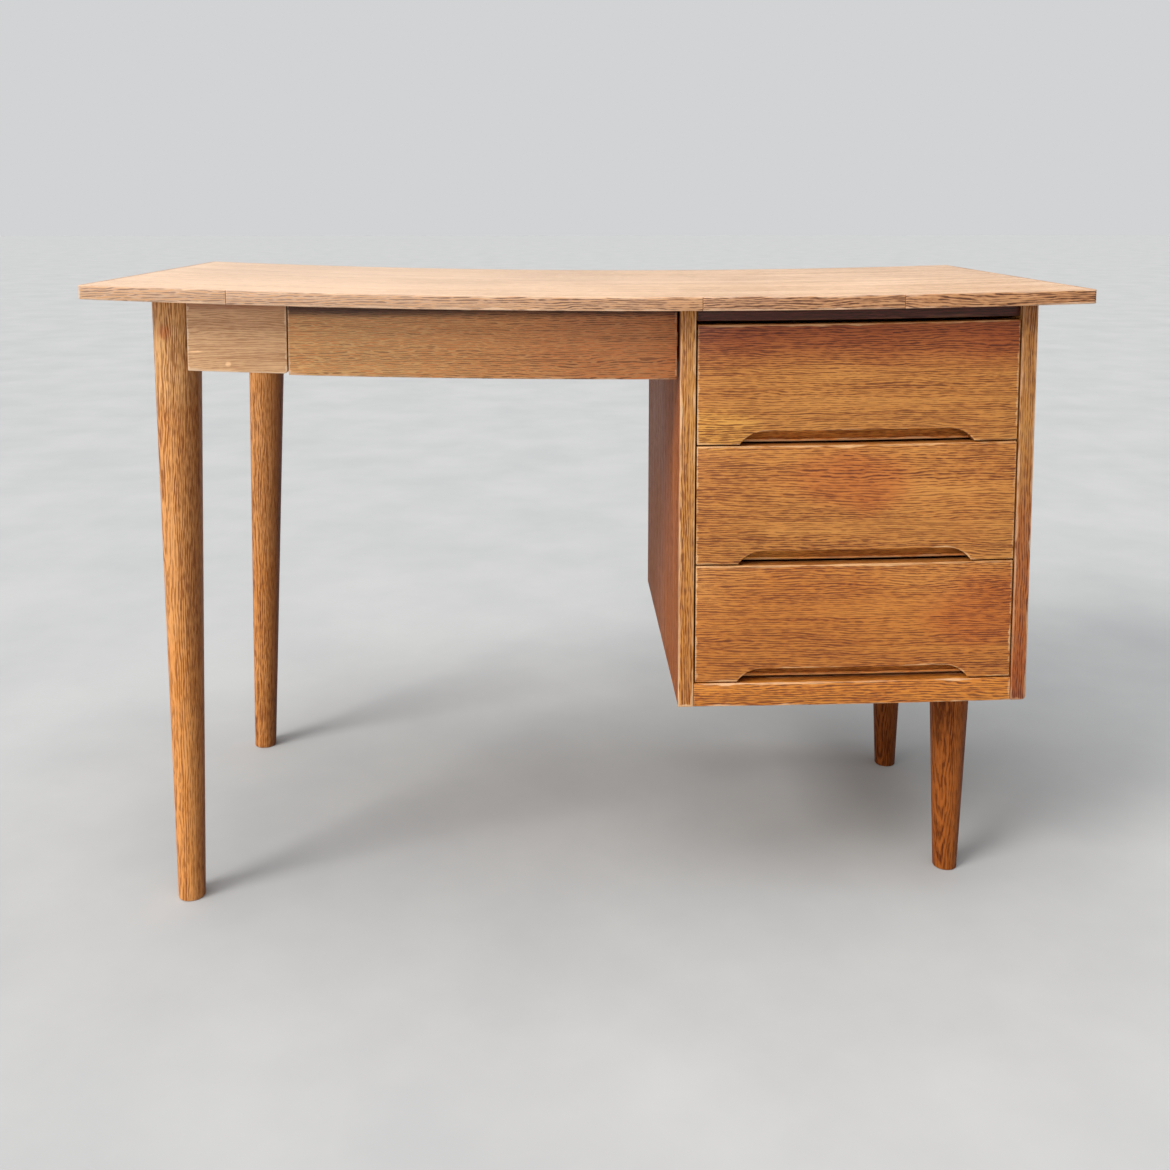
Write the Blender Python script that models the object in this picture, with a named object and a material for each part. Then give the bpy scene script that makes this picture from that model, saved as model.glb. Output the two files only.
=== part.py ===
"""Writing desk with a three-drawer pedestal, a shallow centre drawer and round tapered legs.

Metres, +Z up. The origin is on the floor under the middle of the tabletop. The front of the
desk faces -Y, and the pedestal is on the +X side. Every drawer slides out along -Y.
"""

import math

import bmesh
import bpy
from mathutils import Vector

# Driving dimensions of the whole desk
TOP_WIDTH = 1.150
TOP_DEPTH = 0.550
DESK_HEIGHT = 0.750
TOP_THICKNESS = 0.016
LIPPING = 0.005
BOARD = 0.018
FIT_GAP = 0.0003
CUT_GAP = 0.00045
TINY = 1e-6

# Pedestal carcass
PEDESTAL_LEFT = 0.104
PEDESTAL_RIGHT = 0.520
PEDESTAL_FRONT = -0.245
PEDESTAL_BACK = 0.245
PEDESTAL_BOTTOM = 0.258
SIDE_LIPPING = 0.006
BOTTOM_RAIL_HEIGHT = 0.028
BOTTOM_PANEL_HEIGHT = 0.270
BOTTOM_PANEL_THICKNESS = 0.014
TOP_RAIL_HEIGHT = 0.015
TOP_RAIL_SETBACK = 0.008
REAR_RAIL_HEIGHT = 0.050
BACK_PANEL_THICKNESS = 0.005
BACK_PANEL_SETBACK = 0.004
BACK_PANEL_RISE = 0.004

# Pedestal drawers
DRAWER_NAMES = ("bottom_drawer", "middle_drawer", "top_drawer")
FRONT_HEIGHT = 0.141
FRONT_SPACE = 0.002
FRONT_SETBACK = 0.001
DRAWER_LENGTH = 0.430
DRAWER_SIDE = 0.012
SIDE_PLAY = 0.004
SIDE_RISE = 0.006
SIDE_HEIGHT = 0.118
BACK_HEIGHT = 0.100
DRAWER_BOTTOM_RISE = 0.009
DRAWER_BOTTOM_THICKNESS = 0.004

# Finger pull cut into the lower edge of each pedestal drawer front
PULL_LENGTH = 0.276
PULL_HEIGHT = 0.0157
PULL_RUN = 0.030
PULL_SEGMENTS = 8
GRIP_DEPTH = 0.020
GRIP_HEIGHT = 0.034
COVE_RADIUS = 0.0135
COVE_LIP = 0.003
COVE_SEGMENTS = 12

# Wooden runners, each held in a groove of a drawer side
RUNNER_HEIGHT = 0.016
RUNNER_WIDTH = 0.0095
GROOVE_DEPTH = 0.0065
GROOVE_PLAY = 0.0006
RUNNER_RISE = 0.060
RUNNER_SHORTFALL = 0.004

# Centre drawer and the fixed front panel beside it
APRON_SETBACK = 0.012
PANEL_LEFT = -0.468
PANEL_RIGHT = -0.353
PANEL_HEIGHT = 0.0825
PANEL_CORNER = 0.004
CENTRE_LEFT = -0.3515
CENTRE_RIGHT = 0.101
CENTRE_HEIGHT = 0.0825
CENTRE_TOP_SPACE = 0.0015
CENTRE_LENGTH = 0.385
CENTRE_SIDE_HEIGHT = 0.056
CENTRE_BACK_HEIGHT = 0.044
CENTRE_SIDE_RISE = 0.010
CENTRE_RUNNER_RISE = 0.030
APRON_HEIGHT = 0.075
APRON_INSET = 0.013
APRON_BACK = 0.223

# Tall legs at the left and short legs under the pedestal
LEG_TOP_RADIUS = 0.028
LEG_FOOT_RADIUS = 0.016
SHORT_TOP_RADIUS = 0.025
SHORT_FOOT_RADIUS = 0.0148
FOOT_CHAMFER = 0.0015
LEG_SIDES = 32
FRONT_LEFT_LEG = ((-0.4866, -0.206), (-0.4897, -0.206))
REAR_LEFT_LEG = ((-0.480, 0.220), (-0.499, 0.220))
SHORT_LEG_X = 0.458
SHORT_LEG_Y = (-0.154, 0.137)
LEG_BATTEN_WIDTH = 0.070
LEG_BATTEN_END = 0.215
LEG_BATTEN_RISE = 0.001
BRACE_START = 0.040
BRACE_THICKNESS = 0.018
BRACE_HEIGHT = 0.044
BOLT_RADIUS = 0.004
BOLT_HEAD_RADIUS = 0.0075
BOLT_HEAD_HEIGHT = 0.005
BOLT_DEPTH = 0.045
BOLT_SIDES = 24

# Heights and faces worked out from the sizes above
UNDERSIDE = DESK_HEIGHT - TOP_THICKNESS
HANG = UNDERSIDE - FIT_GAP
INNER_LEFT = PEDESTAL_LEFT + BOARD
INNER_RIGHT = PEDESTAL_RIGHT - BOARD
RAIL_TOP = PEDESTAL_BOTTOM + BOTTOM_RAIL_HEIGHT
BATTEN_BOTTOM = PEDESTAL_BOTTOM + LEG_BATTEN_RISE
DRAWER_FRONT = PEDESTAL_FRONT + FRONT_SETBACK
BOX_FRONT = DRAWER_FRONT + BOARD + FIT_GAP
APRON_FRONT = PEDESTAL_FRONT + APRON_SETBACK
APRON_REAR = APRON_FRONT + BOARD
APRON_LEFT_INNER = FRONT_LEFT_LEG[0][0] + APRON_INSET
APRON_LEFT_OUTER = APRON_LEFT_INNER - BOARD
APRON_BACK_FRONT = APRON_BACK - BOARD

# Colour, roughness and metallic value of each finish
FINISHES = {
    "oak_top": ((0.60, 0.40, 0.24, 1.0), 0.42, 0.0),
    "oak_veneer": ((0.46, 0.24, 0.085, 1.0), 0.45, 0.0),
    "oak_solid": ((0.42, 0.21, 0.075, 1.0), 0.45, 0.0),
    "oak_leg": ((0.38, 0.17, 0.055, 1.0), 0.40, 0.0),
    "drawer_wood": ((0.55, 0.38, 0.21, 1.0), 0.60, 0.0),
    "plywood": ((0.50, 0.34, 0.19, 1.0), 0.65, 0.0),
    "steel": ((0.45, 0.45, 0.46, 1.0), 0.35, 1.0),
}


def clear_scene():
    """Take away whatever the file holds."""
    for item in list(bpy.data.objects):
        bpy.data.objects.remove(item, do_unlink=True)


def finish(name):
    """Return the material of a finish, made once."""
    if name in bpy.data.materials:
        return bpy.data.materials[name]
    colour, roughness, metallic = FINISHES[name]
    material = bpy.data.materials.new(name)
    material.use_nodes = True
    shader = material.node_tree.nodes["Principled BSDF"]
    shader.inputs["Base Color"].default_value = colour
    shader.inputs["Roughness"].default_value = roughness
    shader.inputs["Metallic"].default_value = metallic
    material.diffuse_color = colour
    return material


def place(name, mesh, slot, carrier=None):
    """Put a mesh, modelled in world places, into the scene under its carrier."""
    mesh.materials.append(finish(slot))
    piece = bpy.data.objects.new(name, mesh)
    bpy.context.scene.collection.objects.link(piece)
    if carrier is not None:
        piece.location = -carrier.location
        piece.parent = carrier
    return piece


def slide_carrier(name, centre):
    """Make the empty that carries one drawer, on the line along which it slides."""
    carrier = bpy.data.objects.new(name, None)
    carrier.location = centre
    bpy.context.scene.collection.objects.link(carrier)
    return carrier


def ease_edges(bm, eased, width):
    """Round the edges that the test picks by their middle."""
    picked = [edge for edge in bm.edges if eased((edge.verts[0].co + edge.verts[1].co) / 2)]
    bmesh.ops.bevel(bm, geom=picked, offset=width, segments=2, profile=0.5, affect="EDGES")


def board(name, low, high, slot, carrier=None, eased=None, width=0.001):
    """A board between two corners, with the picked edges eased."""
    low, high = Vector(low), Vector(high)
    bm = bmesh.new()
    bmesh.ops.create_cube(bm, size=1.0)
    bmesh.ops.scale(bm, vec=high - low, verts=bm.verts)
    bmesh.ops.translate(bm, vec=(low + high) / 2, verts=bm.verts)
    if eased is not None:
        ease_edges(bm, eased, width)
    mesh = bpy.data.meshes.new(name)
    bm.to_mesh(mesh)
    bm.free()
    return place(name, mesh, slot, carrier)


def extruded(name, outline, travel, slot, carrier=None):
    """A closed outline, as points in space, pushed along a vector into a solid."""
    bm = bmesh.new()
    face = bm.faces.new([bm.verts.new(point) for point in outline])
    pushed = bmesh.ops.extrude_face_region(bm, geom=[face])["geom"]
    moved = [item for item in pushed if isinstance(item, bmesh.types.BMVert)]
    bmesh.ops.translate(bm, vec=travel, verts=moved)
    bmesh.ops.recalc_face_normals(bm, faces=bm.faces)
    mesh = bpy.data.meshes.new(name)
    bm.to_mesh(mesh)
    bm.free()
    return place(name, mesh, slot, carrier)


def turned_mesh(name, rings, sides):
    """A solid of round rings, each given as (x, y, z, radius) from the bottom up."""
    bm = bmesh.new()
    loops = []
    for x, y, z, radius in rings:
        loop = []
        for step in range(sides):
            angle = 2 * math.pi * step / sides
            loop.append(bm.verts.new((x + radius * math.cos(angle), y + radius * math.sin(angle), z)))
        loops.append(loop)
    bm.faces.new(list(reversed(loops[0])))
    bm.faces.new(loops[-1])
    for lower, upper in zip(loops, loops[1:]):
        for step in range(sides):
            after = (step + 1) % sides
            bm.faces.new((lower[step], lower[after], upper[after], upper[step]))
    mesh = bpy.data.meshes.new(name)
    bm.to_mesh(mesh)
    bm.free()
    mesh.shade_smooth()
    mesh.set_sharp_from_angle(angle=math.radians(40))
    return mesh


def leg_rings(top, foot, height, top_radius, foot_radius, grow=0.0):
    """The rings of a leg that tapers evenly from its top to a chamfered foot."""
    rise = FOOT_CHAMFER / height
    chamfer_radius = foot_radius + (top_radius - foot_radius) * rise
    chamfer_x = foot[0] + (top[0] - foot[0]) * rise
    return (
        (foot[0], foot[1], 0.0, foot_radius - FOOT_CHAMFER + grow),
        (chamfer_x, foot[1], FOOT_CHAMFER, chamfer_radius + grow),
        (top[0], top[1], height, top_radius + grow),
    )


def cutter(name, mesh):
    """A hidden tool shape that other pieces are cut with."""
    tool = bpy.data.objects.new(name, mesh)
    tool.display_type = "WIRE"
    tool.hide_render = True
    bpy.context.scene.collection.objects.link(tool)
    return tool


def cut(piece, tool):
    """Cut a tool shape out of a piece."""
    modifier = piece.modifiers.new("cut_" + tool.name, "BOOLEAN")
    modifier.operation = "DIFFERENCE"
    modifier.solver = "EXACT"
    modifier.object = tool


def make_tabletop():
    """The veneered board and the four solid lippings glued round it."""
    half_width = TOP_WIDTH / 2
    half_depth = TOP_DEPTH / 2
    core_x = half_width - LIPPING
    core_y = half_depth - LIPPING
    inset = core_y - FIT_GAP
    board(
        "tabletop",
        (FIT_GAP - core_x, -inset, UNDERSIDE),
        (core_x - FIT_GAP, inset, DESK_HEIGHT),
        "oak_top",
    )
    for name, side in (("top_edge_front", -1), ("top_edge_back", 1)):
        outer = side * half_depth
        inner = side * core_y
        board(
            name,
            (-half_width, min(outer, inner), UNDERSIDE),
            (half_width, max(outer, inner), DESK_HEIGHT),
            "oak_solid",
            eased=lambda mid, y=outer: abs(mid.y - y) < TINY,
        )
    for name, side in (("top_edge_left", -1), ("top_edge_right", 1)):
        outer = side * half_width
        inner = side * core_x
        board(
            name,
            (min(outer, inner), -inset, UNDERSIDE),
            (max(outer, inner), inset, DESK_HEIGHT),
            "oak_solid",
            eased=lambda mid, x=outer: abs(mid.x - x) < TINY and abs(mid.y) < TINY,
        )


def make_carcass():
    """The pedestal: two sides with front lippings, rails, bottom, back and the leg batten."""
    lipping_back = PEDESTAL_FRONT + SIDE_LIPPING
    for name, left in (("pedestal_left", PEDESTAL_LEFT), ("pedestal_right", INNER_RIGHT)):
        right = left + BOARD
        board(
            name + "_side",
            (left, lipping_back + FIT_GAP, PEDESTAL_BOTTOM),
            (right, PEDESTAL_BACK, HANG),
            "oak_veneer",
            eased=lambda mid: mid.y > PEDESTAL_BACK - TINY,
        )
        board(
            name + "_lipping",
            (left, PEDESTAL_FRONT, PEDESTAL_BOTTOM),
            (right, lipping_back, HANG),
            "oak_solid",
            eased=lambda mid: mid.y < PEDESTAL_FRONT + TINY,
        )
    low_x = INNER_LEFT + FIT_GAP
    high_x = INNER_RIGHT - FIT_GAP
    rail_front = DRAWER_FRONT
    rail_back = rail_front + BOARD
    rail_middle = (low_x + high_x) / 2
    board(
        "pedestal_bottom_rail",
        (low_x, rail_front, PEDESTAL_BOTTOM),
        (high_x, rail_back, RAIL_TOP),
        "oak_solid",
        eased=lambda mid: mid.y < rail_front + TINY and abs(mid.x - rail_middle) < TINY,
    )
    top_rail_front = PEDESTAL_FRONT + TOP_RAIL_SETBACK
    board(
        "pedestal_top_rail",
        (low_x, top_rail_front, UNDERSIDE - TOP_RAIL_HEIGHT),
        (high_x, top_rail_front + BOARD, HANG),
        "oak_solid",
    )
    panel_front = PEDESTAL_BACK - BACK_PANEL_SETBACK - BACK_PANEL_THICKNESS
    board(
        "pedestal_rear_rail",
        (low_x, panel_front - FIT_GAP - BOARD, UNDERSIDE - REAR_RAIL_HEIGHT),
        (high_x, panel_front - FIT_GAP, HANG),
        "drawer_wood",
    )
    bottom = board(
        "pedestal_bottom",
        (low_x, rail_back + FIT_GAP, BOTTOM_PANEL_HEIGHT),
        (high_x, panel_front - FIT_GAP, BOTTOM_PANEL_HEIGHT + BOTTOM_PANEL_THICKNESS),
        "oak_veneer",
    )
    board(
        "pedestal_back",
        (low_x, panel_front, PEDESTAL_BOTTOM + BACK_PANEL_RISE),
        (high_x, panel_front + BACK_PANEL_THICKNESS, HANG),
        "plywood",
    )
    batten = board(
        "leg_batten",
        (SHORT_LEG_X - LEG_BATTEN_WIDTH / 2, -LEG_BATTEN_END, BATTEN_BOTTOM),
        (SHORT_LEG_X + LEG_BATTEN_WIDTH / 2, LEG_BATTEN_END, BOTTOM_PANEL_HEIGHT - FIT_GAP),
        "drawer_wood",
        eased=lambda mid: mid.z < BATTEN_BOTTOM + TINY,
    )
    return bottom, batten


def make_legs():
    """Two tall legs at the left end. Returns the hidden shapes that cope the aprons round them."""
    copes = []
    for name, (top, foot) in (("leg_front_left", FRONT_LEFT_LEG), ("leg_rear_left", REAR_LEFT_LEG)):
        rings = leg_rings(top, foot, HANG, LEG_TOP_RADIUS, LEG_FOOT_RADIUS)
        place(name, turned_mesh(name, rings, LEG_SIDES), "oak_leg")
        rings = leg_rings(top, foot, HANG, LEG_TOP_RADIUS, LEG_FOOT_RADIUS, grow=CUT_GAP)
        low, chamfer, high = rings
        reach = list(high)
        reach[2] = DESK_HEIGHT
        shape = turned_mesh("cope_" + name, (low, chamfer, high, reach), LEG_SIDES)
        copes.append(cutter("cope_" + name, shape))
    return copes


def make_short_legs(bottom, batten):
    """Two short legs, each bolted up through the batten and the pedestal bottom."""
    leg_top = BATTEN_BOTTOM - FIT_GAP
    panel_top = BOTTOM_PANEL_HEIGHT + BOTTOM_PANEL_THICKNESS
    bolt_foot = leg_top - BOLT_DEPTH
    head_foot = panel_top + FIT_GAP
    for side, y in zip(("front", "rear"), SHORT_LEG_Y):
        name = "leg_" + side + "_right"
        centre = (SHORT_LEG_X, y)
        rings = leg_rings(centre, centre, leg_top, SHORT_TOP_RADIUS, SHORT_FOOT_RADIUS)
        leg = place(name, turned_mesh(name, rings, LEG_SIDES), "oak_leg")
        bolt_name = "leg_bolt_" + side
        head_top = head_foot + BOLT_HEAD_HEIGHT
        bolt_rings = (
            (SHORT_LEG_X, y, bolt_foot, BOLT_RADIUS),
            (SHORT_LEG_X, y, head_foot, BOLT_RADIUS),
            (SHORT_LEG_X, y, head_foot, BOLT_HEAD_RADIUS),
            (SHORT_LEG_X, y, head_top, BOLT_HEAD_RADIUS),
        )
        place(bolt_name, turned_mesh(bolt_name, bolt_rings, BOLT_SIDES), "steel")
        bore_radius = BOLT_RADIUS + CUT_GAP
        bore_rings = (
            (SHORT_LEG_X, y, bolt_foot - LEG_BATTEN_RISE, bore_radius),
            (SHORT_LEG_X, y, panel_top + BOLT_HEAD_HEIGHT, bore_radius),
        )
        bore = cutter("bore_" + side, turned_mesh("bore_" + side, bore_rings, BOLT_SIDES))
        for piece in (leg, batten, bottom):
            cut(piece, bore)


def arc(centre, radius, start, end, segments):
    """Points on an arc, from one angle to another in degrees."""
    points = []
    for step in range(segments + 1):
        angle = math.radians(start + (end - start) * step / segments)
        points.append((centre[0] + radius * math.cos(angle), centre[1] + radius * math.sin(angle)))
    return points


def pull_outline(left, right, low, high):
    """A drawer front's outline, with the finger pull rising from its lower edge."""
    middle = (left + right) / 2
    radius = (PULL_RUN**2 + PULL_HEIGHT**2) / (2 * PULL_HEIGHT)
    sweep = math.degrees(math.asin(PULL_RUN / radius))
    centre_z = low + PULL_HEIGHT - radius
    flat = PULL_LENGTH / 2 - PULL_RUN
    rise = arc((middle - flat, centre_z), radius, 90 + sweep, 90, PULL_SEGMENTS)
    fall = arc((middle + flat, centre_z), radius, 90, 90 - sweep, PULL_SEGMENTS)
    return [(left, low)] + rise + fall + [(right, low), (right, high), (left, high)]


def grip_outline(front, low):
    """The grip rail's section: a cove open to the front, over a thin lip."""
    cove = arc((front, low + COVE_LIP + COVE_RADIUS), COVE_RADIUS, -90, 90, COVE_SEGMENTS)
    back = front + GRIP_DEPTH
    high = low + GRIP_HEIGHT
    return [(front, low), *cove, (front, high), (back, high), (back, low)]


def grooved_side(name, outer, inner, front, back, low, high, groove_mid, carrier):
    """A drawer side with the runner's groove along its outer face."""
    towards = 1 if inner > outer else -1
    depth = outer + towards * GROOVE_DEPTH
    half = RUNNER_HEIGHT / 2 + GROOVE_PLAY
    section = [
        (outer, low),
        (inner, low),
        (inner, high),
        (outer, high),
        (outer, groove_mid + half),
        (depth, groove_mid + half),
        (depth, groove_mid - half),
        (outer, groove_mid - half),
    ]
    outline = [(x, front, z) for x, z in section]
    extruded(name, outline, (0.0, back - front, 0.0), "drawer_wood", carrier)


def make_box(name, carrier, left, right, front, length, low, heights, bottom_front, groove_mid):
    """The boards of a drawer box behind its front. The heights are the sides' and the back's."""
    side_height, back_height = heights
    back = front + length
    high = low + side_height
    for side, outer, inner in (
        ("left", left, left + DRAWER_SIDE),
        ("right", right, right - DRAWER_SIDE),
    ):
        grooved_side(f"{name}_{side}_side", outer, inner, front, back, low, high, groove_mid, carrier)
    inner_left = left + DRAWER_SIDE + FIT_GAP
    inner_right = right - DRAWER_SIDE - FIT_GAP
    panel_low = low + DRAWER_BOTTOM_RISE - SIDE_RISE
    panel_high = panel_low + DRAWER_BOTTOM_THICKNESS
    board(
        name + "_bottom",
        (inner_left, bottom_front, panel_low),
        (inner_right, back, panel_high),
        "plywood",
        carrier,
    )
    board(
        name + "_back",
        (inner_left, back - DRAWER_SIDE, panel_high + FIT_GAP),
        (inner_right, back, panel_high + FIT_GAP + back_height),
        "drawer_wood",
        carrier,
    )


def make_pedestal_drawer(name, low):
    """One pedestal drawer: front with its finger pull, grip rail, sides, back and bottom."""
    left = INNER_LEFT + FRONT_SPACE
    right = INNER_RIGHT - FRONT_SPACE
    middle = (left + right) / 2
    carrier = slide_carrier(name + "_slide", (middle, DRAWER_FRONT, low + FRONT_HEIGHT / 2))
    outline = [(x, DRAWER_FRONT, z) for x, z in pull_outline(left, right, low, low + FRONT_HEIGHT)]
    extruded(name + "_front", outline, (0.0, BOARD, 0.0), "oak_veneer", carrier)
    box_left = INNER_LEFT + SIDE_PLAY
    box_right = INNER_RIGHT - SIDE_PLAY
    grip_left = box_left + DRAWER_SIDE + FIT_GAP
    grip_right = box_right - DRAWER_SIDE - FIT_GAP
    section = [(grip_left, y, z) for y, z in grip_outline(BOX_FRONT, low)]
    extruded(name + "_grip_rail", section, (grip_right - grip_left, 0.0, 0.0), "oak_solid", carrier)
    make_box(
        name,
        carrier,
        box_left,
        box_right,
        BOX_FRONT,
        DRAWER_LENGTH,
        low + SIDE_RISE,
        (SIDE_HEIGHT, BACK_HEIGHT),
        BOX_FRONT + GRIP_DEPTH + FIT_GAP,
        low + RUNNER_RISE,
    )


def runner(name, wall, towards, front, back, middle):
    """A hardwood runner on a wall, in the drawer side's groove. Its front end stops the drawer front."""
    near = wall + towards * FIT_GAP
    far = wall + towards * RUNNER_WIDTH
    board(
        name,
        (min(near, far), front, middle - RUNNER_HEIGHT / 2),
        (max(near, far), back, middle + RUNNER_HEIGHT / 2),
        "drawer_wood",
    )


def make_pedestal_drawers():
    """Three drawers and their runners, one above the other."""
    runner_back = BOX_FRONT + DRAWER_LENGTH - RUNNER_SHORTFALL
    for step, name in enumerate(DRAWER_NAMES):
        low = RAIL_TOP + FRONT_SPACE + step * (FRONT_HEIGHT + FRONT_SPACE)
        make_pedestal_drawer(name, low)
        for side, wall, towards in (("left", INNER_LEFT, 1), ("right", INNER_RIGHT, -1)):
            runner(name + "_runner_" + side, wall, towards, BOX_FRONT, runner_back, low + RUNNER_RISE)


def make_aprons(copes):
    """The fixed front panel, the left and back aprons, the hanger board and two corner braces."""
    panel_low = UNDERSIDE - PANEL_HEIGHT
    panel = board(
        "front_panel",
        (PANEL_LEFT, APRON_FRONT, panel_low),
        (PANEL_RIGHT, APRON_REAR, HANG),
        "oak_veneer",
        eased=lambda mid: mid.x > PANEL_RIGHT - TINY and mid.z < panel_low + TINY,
        width=PANEL_CORNER,
    )
    apron_low = UNDERSIDE - APRON_HEIGHT
    left_apron = board(
        "left_apron",
        (APRON_LEFT_OUTER, FRONT_LEFT_LEG[0][1], apron_low),
        (APRON_LEFT_INNER, REAR_LEFT_LEG[0][1], HANG),
        "oak_veneer",
    )
    back_apron = board(
        "back_apron",
        (REAR_LEFT_LEG[0][0], APRON_BACK_FRONT, apron_low),
        (PEDESTAL_LEFT - FIT_GAP, APRON_BACK, HANG),
        "oak_veneer",
    )
    front_cope, rear_cope = copes
    cut(panel, front_cope)
    cut(left_apron, front_cope)
    cut(left_apron, rear_cope)
    cut(back_apron, rear_cope)
    board(
        "drawer_hanger",
        (PANEL_RIGHT - BOARD, APRON_REAR + FIT_GAP, apron_low),
        (PANEL_RIGHT, APRON_BACK_FRONT - FIT_GAP, HANG),
        "drawer_wood",
    )
    corner_x = APRON_LEFT_INNER + FIT_GAP
    reach = BRACE_START + BRACE_THICKNESS * math.sqrt(2)
    for name, corner_y, inward in (
        ("corner_brace_front", APRON_REAR + FIT_GAP, 1),
        ("corner_brace_rear", APRON_BACK_FRONT - FIT_GAP, -1),
    ):
        low = HANG - BRACE_HEIGHT
        outline = [
            (corner_x + BRACE_START, corner_y, low),
            (corner_x + reach, corner_y, low),
            (corner_x, corner_y + inward * reach, low),
            (corner_x, corner_y + inward * BRACE_START, low),
        ]
        extruded(name, outline, (0.0, 0.0, BRACE_HEIGHT), "drawer_wood")


def make_centre_drawer():
    """The shallow drawer between the fixed panel and the pedestal, and its runners."""
    name = "centre_drawer"
    high = UNDERSIDE - CENTRE_TOP_SPACE
    low = high - CENTRE_HEIGHT
    middle = (CENTRE_LEFT + CENTRE_RIGHT) / 2
    carrier = slide_carrier(name + "_slide", (middle, APRON_FRONT, (low + high) / 2))
    board(
        name + "_front",
        (CENTRE_LEFT, APRON_FRONT, low),
        (CENTRE_RIGHT, APRON_REAR, high),
        "oak_veneer",
        carrier,
        eased=lambda mid: mid.y < APRON_FRONT + TINY,
        width=0.0006,
    )
    box_front = APRON_REAR + FIT_GAP
    groove_mid = low + CENTRE_RUNNER_RISE + RUNNER_HEIGHT / 2
    make_box(
        name,
        carrier,
        PANEL_RIGHT + SIDE_PLAY,
        PEDESTAL_LEFT - SIDE_PLAY,
        box_front,
        CENTRE_LENGTH,
        low + CENTRE_SIDE_RISE,
        (CENTRE_SIDE_HEIGHT, CENTRE_BACK_HEIGHT),
        box_front,
        groove_mid,
    )
    runner_back = box_front + CENTRE_LENGTH - RUNNER_SHORTFALL
    runner(name + "_runner_left", PANEL_RIGHT, 1, box_front, runner_back, groove_mid)
    runner(name + "_runner_right", PEDESTAL_LEFT, -1, box_front, runner_back, groove_mid)


def main():
    """Build the desk from the top down."""
    clear_scene()
    make_tabletop()
    bottom, batten = make_carcass()
    copes = make_legs()
    make_short_legs(bottom, batten)
    make_aprons(copes)
    make_pedestal_drawers()
    make_centre_drawer()


main()
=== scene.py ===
"""A worn oak writing desk: a pedestal of three drawers, a shallow centre drawer and round tapered legs.

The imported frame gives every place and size, in metres, with the front of the desk facing -Y. Each visible
board, leg and drawer front is made anew with eased, worn arrises and stands for its frame node. The hidden
insides of the drawers keep their frame nodes and get a better finish.
"""

import logging
import math
from dataclasses import dataclass, field, replace
from enum import Enum
from typing import Any, Callable, Dict, Optional, Sequence, Tuple, Union

import bpy
from mathutils import Matrix, Vector


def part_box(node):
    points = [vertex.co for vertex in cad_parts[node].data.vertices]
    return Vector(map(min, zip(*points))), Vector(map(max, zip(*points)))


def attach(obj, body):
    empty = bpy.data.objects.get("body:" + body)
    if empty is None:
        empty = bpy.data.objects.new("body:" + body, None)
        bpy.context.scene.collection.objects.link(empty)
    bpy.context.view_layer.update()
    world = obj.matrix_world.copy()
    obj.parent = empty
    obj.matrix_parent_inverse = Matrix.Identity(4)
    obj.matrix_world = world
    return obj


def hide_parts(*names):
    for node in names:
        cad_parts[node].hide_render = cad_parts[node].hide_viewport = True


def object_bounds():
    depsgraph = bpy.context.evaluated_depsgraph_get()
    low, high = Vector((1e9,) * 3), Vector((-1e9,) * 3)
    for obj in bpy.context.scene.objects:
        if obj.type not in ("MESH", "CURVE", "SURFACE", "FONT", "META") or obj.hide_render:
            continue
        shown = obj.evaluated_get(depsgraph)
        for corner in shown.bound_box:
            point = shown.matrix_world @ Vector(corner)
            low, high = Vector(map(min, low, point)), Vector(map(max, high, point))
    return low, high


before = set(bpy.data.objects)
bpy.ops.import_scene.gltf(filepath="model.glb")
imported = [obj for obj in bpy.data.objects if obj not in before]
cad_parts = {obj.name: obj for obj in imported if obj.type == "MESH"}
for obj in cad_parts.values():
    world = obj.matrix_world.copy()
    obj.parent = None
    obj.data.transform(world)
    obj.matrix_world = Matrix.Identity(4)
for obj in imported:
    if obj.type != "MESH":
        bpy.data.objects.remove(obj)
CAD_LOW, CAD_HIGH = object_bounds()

logging.basicConfig(level=logging.INFO, format="%(name)s: %(message)s")
log = logging.getLogger("desk")

Colour = Tuple[float, float, float, float]
Place = Tuple[float, float, float]
TINY = 1e-5


def stain(red: int, green: int, blue: int) -> Colour:
    """Turn an everyday 0 to 255 colour into the linear colour that a shader takes.

    Args:
        red: Red part.
        green: Green part.
        blue: Blue part.

    Returns:
        Linear red, green, blue and a full alpha.
    """

    def linear(part: int) -> float:
        """One part of the colour, made linear."""
        share = part / 255
        return share / 12.92 if share <= 0.04045 else ((share + 0.055) / 1.055) ** 2.4

    return (linear(red), linear(green), linear(blue), 1.0)


def stains(*colours: Tuple[int, int, int]) -> Tuple[Colour, ...]:
    """Turn several everyday colours into linear ones, in the same order."""
    return tuple(stain(*colour) for colour in colours)


# ---------------------------------------------------------------------------------------------
# Shader maths and nodes
# ---------------------------------------------------------------------------------------------


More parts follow.
